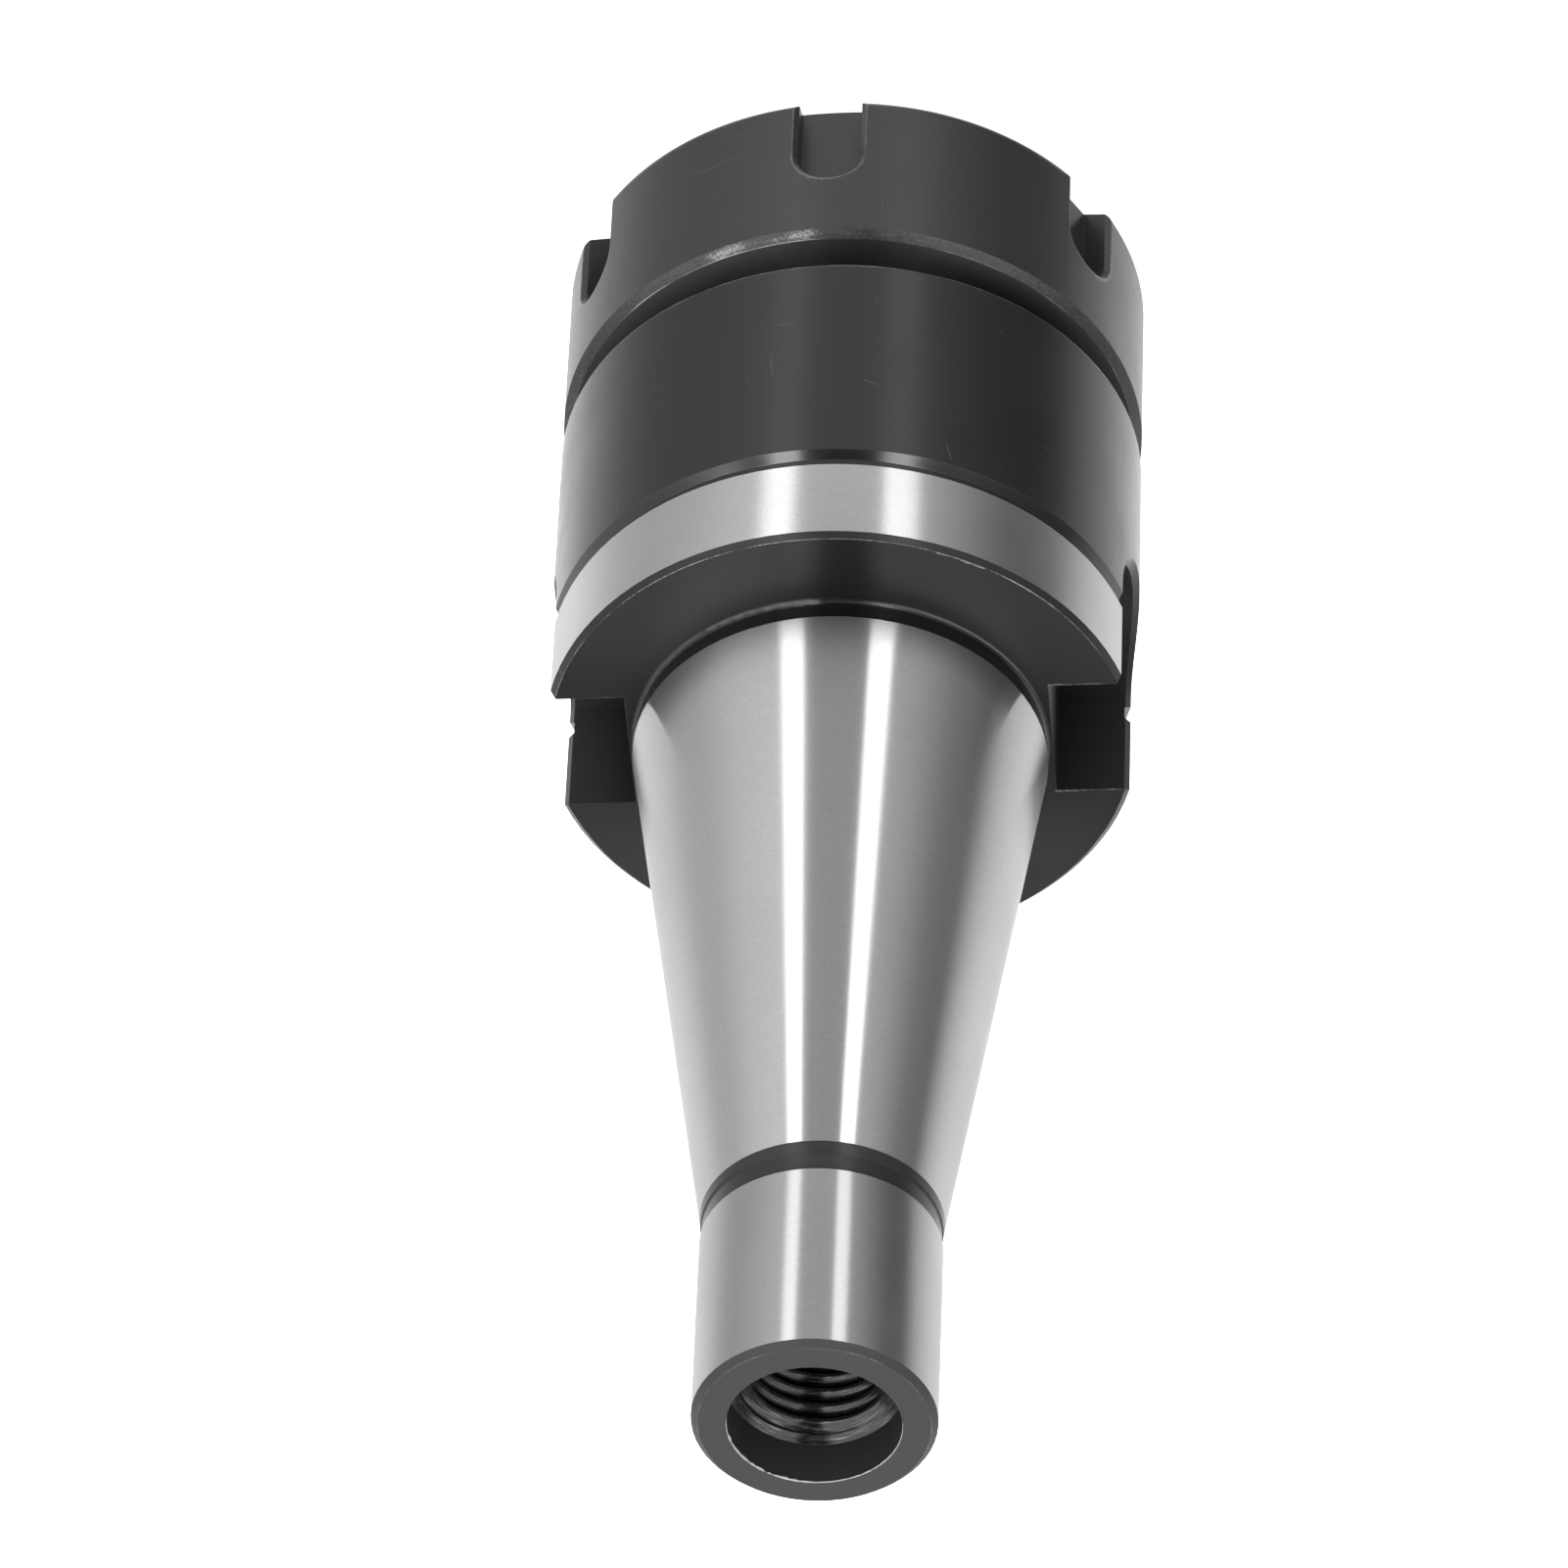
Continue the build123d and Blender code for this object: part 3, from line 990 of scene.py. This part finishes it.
            node.data.materials.append(finishes[finish].build())
        counts = [0] * len(HolderFinish)
        for face in node.data.polygons:
            face.material_index = self.finish_at(face.center / MM, face.normal)
            counts[face.material_index] += 1
        LOG.info("holder_body: faces by finish: %s", counts)

    def cut_thread(self, name: str) -> BlackOxideSteel:
        """Finish of the tapped hole, whose tool marks shine through the oxide.

        Args:
            name: Name of the material.

        Returns:
            The finish.
        """
        return BlackOxideSteel(
            name,
            colour="#131314",
            bare_colour="#7c7c7d",
            ior=1.6,
            roughness=0.18,
            anisotropy=0.88,
            ring_pitch=0.17,
            ring_reach=3.2,
            ring_depth=0.02,
            edge_radius=0.08,
            edges=(ThreadCrest(0.12, 1.3, 0.9, radius=self.thread_crest),),
            streaks=1.0,
        )

    def threads(self) -> None:
        """Cut the nose's M50 thread and the draw-bar hole's M16 thread."""
        nose = ThreadRidge(
            "nose_thread",
            Body.HOLDER,
            Slot.HOLDER,
            root=24.08,
            crest=25.0,
            crest_width=0.14,
            pitch=self.nose_pitch,
            low=16.8,
            high=27.1,
            level=self.nose_level,
        ).build(BlackOxideSteel("black_oxide_nose_thread", roughness=0.3).build())
        LOG.info("%s: %d faces", nose.name, len(nose.data.polygons))
        draw_bar = ThreadRidge(
            "draw_bar_thread",
            Body.HOLDER,
            Slot.HOLDER,
            root=self.thread_radius,
            crest=self.thread_crest,
            crest_width=0.5,
            pitch=2.0,
            low=self.thread_bottom + 0.2,
            high=self.lead_in_end + 1.3,
            level=157.2,
            lead_in_radius=self.thread_radius,
            lead_in_height=self.lead_in_end,
        ).build(self.cut_thread("black_oxide_tapped_thread").build())
        LOG.info("%s: %d faces", draw_bar.name, len(draw_bar.data.polygons))

    def burr(self) -> None:
        """Leave the thin bright burr that turning threw up round the counterbore's mouth."""
        mesh = bmesh.new()
        radius = self.counterbore_radius
        # Section, as distances out from the bore's wall and up from the end face.
        outline = ((0.06, -0.04), (0.03, 0.03), (-0.04, 0.04), (-0.1, -0.01), (-0.1, -0.1), (0.04, -0.14))
        section = [
            mesh.verts.new((radius + along, 0.0, self.shank_top + height)) for along, height in outline
        ]
        loop = [mesh.edges.new((a, b)) for a, b in zip(section, section[1:] + section[:1])]
        bmesh.ops.spin(
            mesh,
            geom=section + loop,
            cent=(0, 0, 0),
            axis=(0, 0, 1),
            angle=2 * math.pi,
            steps=240,
            use_merge=True,
            use_duplicate=False,
        )
        for vertex in mesh.verts:
            away = math.hypot(vertex.co.x, vertex.co.y)
            azimuth = math.atan2(vertex.co.y, vertex.co.x)
            ragged = noise.noise(Vector((14 * math.cos(azimuth), 14 * math.sin(azimuth), 3.0)))
            # A thin lip on the half away from the camera, and a ragged heap on one side of it.
            lip = 0.5 + 2.0 * math.cos(azimuth - math.radians(85))
            heap = max(0.0, math.cos(azimuth - math.radians(44))) ** 6
            stands = min(max(0.0, min(lip, 1.0)) * (0.75 + 0.5 * ragged + heap * (0.6 + 1.6 * ragged)), 1.8)
            # Where no burr stands, the section shrinks to a thread inside the wall.
            buried = 0.05 * max(0.0, 1 - 4 * stands)
            scale = (radius + buried + (away - radius) * max(stands, 0.1)) / away
            vertex.co.x *= scale
            vertex.co.y *= scale
            vertex.co.z = self.shank_top + (vertex.co.z - self.shank_top) * max(stands, 0.1) - buried
        bmesh.ops.recalc_face_normals(mesh, faces=mesh.faces)
        bmesh.ops.scale(mesh, vec=(MM, MM, MM), verts=mesh.verts)
        finish = GroundSteel("bare_steel_burr", colour="#f2f2f3", roughness=0.5, anisotropy=0.0).build()
        piece = finished_piece(mesh, "counterbore_burr", finish, Body.HOLDER)
        LOG.info("%s: %d faces", piece.name, len(piece.data.polygons))


@dataclass
class Nut:
    """Clamping nut with its spanner slots and its internal thread."""

    radius: float = 31.5
    length: float = 25.5
    rear_chamfer: float = 1.0
    rear_chamfer_length: float = 0.7

    def dress(self, node: bpy.types.Object) -> None:
        """Give the CAD node its finish.

        Args:
            node: CAD node of the nut.
        """
        inner = self.radius - self.rear_chamfer
        middle = (self.radius - self.rear_chamfer / 2, self.length - self.rear_chamfer_length / 2)
        finishes = {
            # Oiled skin: matt, with a soft brightness near grazing.
            NutFinish.OXIDE: BlackOxideSteel(
                "black_oxide_nut_steel",
                colour="#292a2a",
                roughness=0.45,
                anisotropy=0.2,
                hairlines=0.1,
                oil=0.32,
                edges=(SpannerSlotEdge(0.35, 1.5, 0.26), SpannerSlotEdge(0.25, 0.8, 0.8)),
            ),
            # Chamfer that meets the bench and the spanner: specked with bare steel, with a painted highlight
            # along its inner edge on the left.
            NutFinish.RUBBED: BlackOxideSteel(
                "rubbed_and_highlit_chamfer_steel",
                colour="#2c2c2d",
                roughness=0.3,
                rubbed=0.12,
                nick_scale=4.5,
                edges=(
                    # Bare steel along the chamfer's inner edge on the left side only: a painted highlight where
                    # the left strip light catches the edge, laid over real wear.
                    TurnedEdge(0.35, 1.3, 1.0, inner, self.length, azimuth=-66.0, reach=34.0),
                    TurnedEdge(0.25, 0.85, 1.0, inner, self.length),
                    TurnedEdge(6.0, 0.5, 0.8, *middle, azimuth=-83.0, reach=32.0),
                ),
            ),
            # Faced rear: rings draw a broad light fan in the gap under the body.
            NutFinish.FACED: BlackOxideSteel(
                "black_oxide_nut_face", colour="#1c1c1d", ior=2.2, roughness=0.5, anisotropy=0.9
            ),
        }
        node.data.materials.clear()
        for finish in NutFinish:
            node.data.materials.append(finishes[finish].build())
        rubbed = 0
        for face in node.data.polygons:
            centre = face.center / MM
            radius = math.hypot(centre.x, centre.y)
            on_chamfer = (
                centre.z > self.length - self.rear_chamfer_length + SAME
                and radius > self.radius - self.rear_chamfer + SAME
            )
            if face.normal.z > 0.95 and centre.z > self.length - SAME:
                face.material_index = NutFinish.FACED
            elif on_chamfer:
                face.material_index = NutFinish.RUBBED
                rubbed += 1
            else:
                face.material_index = NutFinish.OXIDE
        LOG.info("clamping_nut: %d faces on the rubbed chamfer", rubbed)

    def thread(self) -> None:
        """Cut the nut's M50 thread, which meshes with the nose's."""
        # Half a pitch from the nose's ridge, so that the two threads mesh.
        level = Holder.nose_level + Holder.nose_pitch / 2
        ridge = ThreadRidge(
            "nut_thread",
            Body.NUT,
            Slot.NUT,
            root=25.05,
            crest=24.19,
            crest_width=0.33,
            pitch=Holder.nose_pitch,
            low=14.45,
            high=24.65,
            level=level,
        ).build(BlackOxideSteel("black_oxide_nut_thread", roughness=0.3).build())
        LOG.info("%s: %d faces", ridge.name, len(ridge.data.polygons))


@dataclass
class Collet:
    """Spring collet, ground inside and out."""

    def dress(self, node: bpy.types.Object) -> None:
        """Give the CAD node its finish.

        Args:
            node: CAD node of the collet.
        """
        node.data.materials.clear()
        finish = GroundSteel("ground_spring_steel", colour="#aeaeaf", roughness=0.34, anisotropy=0.6)
        node.data.materials.append(finish.build())


@dataclass
class Studio:
    """White paper, soft light all round with two tall strips beside the camera, and the camera."""

    camera_azimuth: float = -95.5
    camera_reach: float = 893.5492
    camera_height: float = 928.4144
    aim_height: float = 80.0
    pan: float = 0.0046788420
    tilt: float = 0.0017111632
    roll: float = 0.0389040254
    focal_pixels: float = 11904.0057
    frame_pixels: float = 1601.0
    # Grey levels round the camera's azimuth, left positive: walls and ceiling, then the table.
    walls: tuple[tuple[float, float], ...] = (
        (-180.0, 1.15), (-140.0, 1.05), (-118.0, 1.08), (-100.0, 0.78), (-84.0, 0.22),
        (-62.0, 0.36), (-40.0, 0.62), (-25.0, 0.7), (-13.0, 0.42), (0.0, 0.4),
        (14.0, 0.42), (22.0, 0.75), (35.0, 1.05), (60.0, 0.98), (82.0, 0.74),
        (100.0, 0.7), (120.0, 0.98), (145.0, 1.15), (180.0, 1.2),
    )
    table: tuple[tuple[float, float], ...] = (
        (-180.0, 1.8), (-140.0, 1.5), (-118.0, 1.0), (-100.0, 0.62), (-86.0, 0.06),
        (-64.0, 0.08), (-46.0, 0.25), (-28.0, 0.53), (-12.0, 0.72), (12.0, 0.72),
        (45.0, 0.66), (62.0, 0.48), (84.0, 0.41), (100.0, 0.52), (118.0, 1.0),
        (145.0, 1.6), (180.0, 1.8),
    )
    strips: tuple[tuple[float, float], ...] = ((20.5, 32.0), (-24.5, -12.5))
    strip_light: float = 2.2
    strip_share_below: float = 0.28  # how much of a strip's light the table keeps
    roof_light: float = 1.6
    roof_gap: float = 0.19  # half its width, as the sine of the angle
    gap_dimming: float = 0.8
    floor_size: float = 12.0  # half its side, in metres
    floor_depth: float = 9.2  # nut and collet come down 9 mm as the nut is unscrewed
    lamp_width: float = 1.6  # in metres, as is its height
    lamp_height: float = 1.6
    lamp_power: float = 26.0

    def paper(self) -> None:
        """Lay the white floor."""
        mesh = bmesh.new()
        bmesh.ops.create_grid(mesh, x_segments=1, y_segments=1, size=self.floor_size)
        data = bpy.data.meshes.new("paper_floor")
        mesh.to_mesh(data)
        mesh.free()
        data.materials.append(Paper().build())
        floor = bpy.data.objects.new("paper_floor", data)
        floor.location.z = -self.floor_depth * MM
        bpy.context.scene.collection.objects.link(floor)
        floor.visible_glossy = False
        floor.visible_diffuse = False

    def light(self) -> None:
        """Light the piece from a soft surround and one large soft box overhead."""
        world = bpy.data.worlds.new("soft_studio")
        bpy.context.scene.world = world
        world.use_nodes = True
        tree = world.node_tree
        tree.nodes.clear()
        add = partial(add_node, tree)
        place = add("ShaderNodeTexCoord", {})
        turned = add(
            "ShaderNodeVectorRotate",
            {"rotation_type": "Z_AXIS", "Angle": math.radians(-self.camera_azimuth)},
            {"Vector": place.outputs["Generated"]},
        )
        split = add("ShaderNodeSeparateXYZ", {}, {0: turned})
        azimuth = add(
            "ShaderNodeMath", {"operation": "ARCTAN2"}, {0: split.outputs["Y"], 1: split.outputs["X"]}
        )
        share = add(
            "ShaderNodeMath", {"operation": "MULTIPLY_ADD", 1: 1 / (2 * math.pi), 2: 0.5}, {0: azimuth}
        )
        walls = add("ShaderNodeValToRGB", {}, {0: share})
        self._fill_ramp(walls.color_ramp, self.walls)
        table = add("ShaderNodeValToRGB", {}, {0: share})
        self._fill_ramp(table.color_ramp, self.table)
        aside = add("ShaderNodeMath", {"operation": "ABSOLUTE"}, {0: split.outputs["Y"]})
        gap = self.roof_gap
        # Each: what it follows, between which two values, and what it goes from and to.
        steps = {
            # Steeply below the horizon the piece sees the table, and high up a darker ceiling.
            "table": (split.outputs["Z"], -0.46, -0.66, 0.0, 1.0),
            "ceiling": (split.outputs["Z"], 0.15, 0.62, 1.0, 0.24),
            "strip top": (split.outputs["Z"], 0.7, 0.85, 1.0, 0.0),
            # Two soft boxes hang overhead, left and right of a dark gap that runs down behind the camera.
            "gap": (aside, gap + 0.01, gap - 0.05, 0.0, self.gap_dimming),
            "high": (split.outputs["Z"], 0.62, 0.8, 0.0, 1.0),
            "beyond gap": (aside, gap - 0.03, gap + 0.03, 0.0, self.roof_light),
            # The box on the left hangs lower at its outer side.
            "lower": (split.outputs["Y"], 0.4, 0.6, 0.0, 0.12),
        }
        eased = {
            name: add(
                "ShaderNodeMapRange",
                {
                    "interpolation_type": "SMOOTHSTEP",
                    "From Min": first,
                    "From Max": last,
                    "To Min": start,
                    "To Max": end,
                },
                {"Value": source},
            )
            for name, (source, first, last, start, end) in steps.items()
        }
        around = add(
            "ShaderNodeMix",
            {"data_type": "RGBA"},
            {0: eased["table"], 6: walls.outputs["Color"], 7: table.outputs["Color"]},
        )
        fade = add(
            "ShaderNodeMapRange",
            {"To Min": self.strip_light, "To Max": self.strip_share_below * self.strip_light},
            {"Value": eased["table"]},
        )
        strip_light = add("ShaderNodeMath", {"operation": "MULTIPLY"}, {0: fade, 1: eased["strip top"]})
        layers = [("MULTIPLY", eased["ceiling"])]
        for first, last in self.strips:
            middle, half = math.radians((first + last) / 2), math.radians(abs(last - first) / 2)
            inside = add("ShaderNodeMath", {"operation": "COMPARE", 1: middle, 2: half}, {0: azimuth})
            lit = add("ShaderNodeMath", {"operation": "MULTIPLY"}, {0: inside, 1: strip_light})
            layers.append(("ADD", lit))
        dimmed = add("ShaderNodeMath", {"operation": "MULTIPLY"}, {0: eased["gap"], 1: eased["high"]})
        kept = add("ShaderNodeMath", {"operation": "SUBTRACT", 0: 1.0}, {1: dimmed})
        height = add("ShaderNodeMath", {"operation": "ADD"}, {0: split.outputs["Z"], 1: eased["lower"]})
        overhead = add(
            "ShaderNodeMapRange",
            {"interpolation_type": "SMOOTHSTEP", "From Min": 0.72, "From Max": 0.8},
            {"Value": height},
        )
        roof = add("ShaderNodeMath", {"operation": "MULTIPLY"}, {0: eased["beyond gap"], 1: overhead})
        layers += [("MULTIPLY", kept), ("ADD", roof)]
        total = around.outputs[2]
        for blend, layer in layers:
            total = add(
                "ShaderNodeMix", {"data_type": "RGBA", "blend_type": blend, 0: 1.0}, {6: total, 7: layer}
            ).outputs[2]
        surround = add("ShaderNodeBackground", {"Strength": 1.0}, {"Color": total})
        seen = add("ShaderNodeBackground", {"Color": (1, 1, 1, 1), "Strength": 1.0})
        path = add("ShaderNodeLightPath", {})
        mix = add("ShaderNodeMixShader", {}, {0: path.outputs["Is Camera Ray"], 1: surround, 2: seen})
        add("ShaderNodeOutputWorld", {}, {"Surface": mix})

        lamp = bpy.data.lights.new("overhead_soft_box", "AREA")
        lamp.shape = "DISK"
        lamp.size = self.lamp_width
        lamp.energy = self.lamp_power
        box = bpy.data.objects.new("overhead_soft_box", lamp)
        bpy.context.scene.collection.objects.link(box)
        box.location = (0.0, 0.0, self.lamp_height)
        box.visible_glossy = False
        box.visible_camera = False

    def _fill_ramp(self, ramp: bpy.types.ColorRamp, stops: tuple[tuple[float, float], ...]) -> None:
        """Set a colour ramp to grey levels by azimuth from the camera.

        Args:
            ramp: Ramp to fill.
            stops: Pairs of azimuth in degrees and grey level.
        """
        ramp.interpolation = "LINEAR"
        while len(ramp.elements) < len(stops):
            ramp.elements.new(0.5)
        # All places are set before any colour, because a move can change the elements' order.
        for element, (azimuth, _) in zip(ramp.elements, stops):
            element.position = 0.5 + azimuth / 360
        for element, (_, level) in zip(ramp.elements, stops):
            element.color = (level, level, level, 1.0)

    def camera(self) -> None:
        """Stand the camera where the photograph was taken from, turned over as the picture is."""
        azimuth = math.radians(self.camera_azimuth)
        place = Vector(
            (
                self.camera_reach * math.cos(azimuth),
                self.camera_reach * math.sin(azimuth),
                self.camera_height,
            )
        )
        ahead = (Vector((0, 0, self.aim_height)) - place).normalized()
        right = ahead.cross(Vector((0, 0, 1))).normalized()
        up = right.cross(ahead)
        level = Matrix((right, up, -ahead)).transposed()
        nudge = (
            Matrix.Rotation(math.pi + self.roll, 3, "Z")
            @ Matrix.Rotation(self.pan, 3, "Y")
            @ Matrix.Rotation(self.tilt, 3, "X")
        )
        data = bpy.data.cameras.new("photo_camera")
        data.sensor_fit = "HORIZONTAL"
        data.sensor_width = 36.0
        data.lens = 36.0 * self.focal_pixels / self.frame_pixels
        data.clip_end = 50.0
        camera = bpy.data.objects.new("photo_camera", data)
        bpy.context.scene.collection.objects.link(camera)
        camera.matrix_world = Matrix.Translation(place * MM) @ (level @ nudge).to_4x4()
        bpy.context.scene.camera = camera

    def build(self) -> None:
        """Set up the whole studio."""
        self.paper()
        self.light()
        self.camera()
        view = bpy.context.scene.view_settings
        view.view_transform = "Standard"
        view.look = "None"


def main() -> None:
    """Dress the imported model."""
    logging.basicConfig(level=logging.INFO, format="%(name)s: %(message)s")
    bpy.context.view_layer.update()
    nodes = frame["nodes"]
    Studio().build()
    holder = Holder()
    holder.dress(nodes[Node.HOLDER.value])
    holder.threads()
    holder.burr()
    nut = Nut()
    nut.dress(nodes[Node.NUT.value])
    nut.thread()
    Collet().dress(nodes[Node.COLLET.value])


if __name__ == "__main__":
    main()
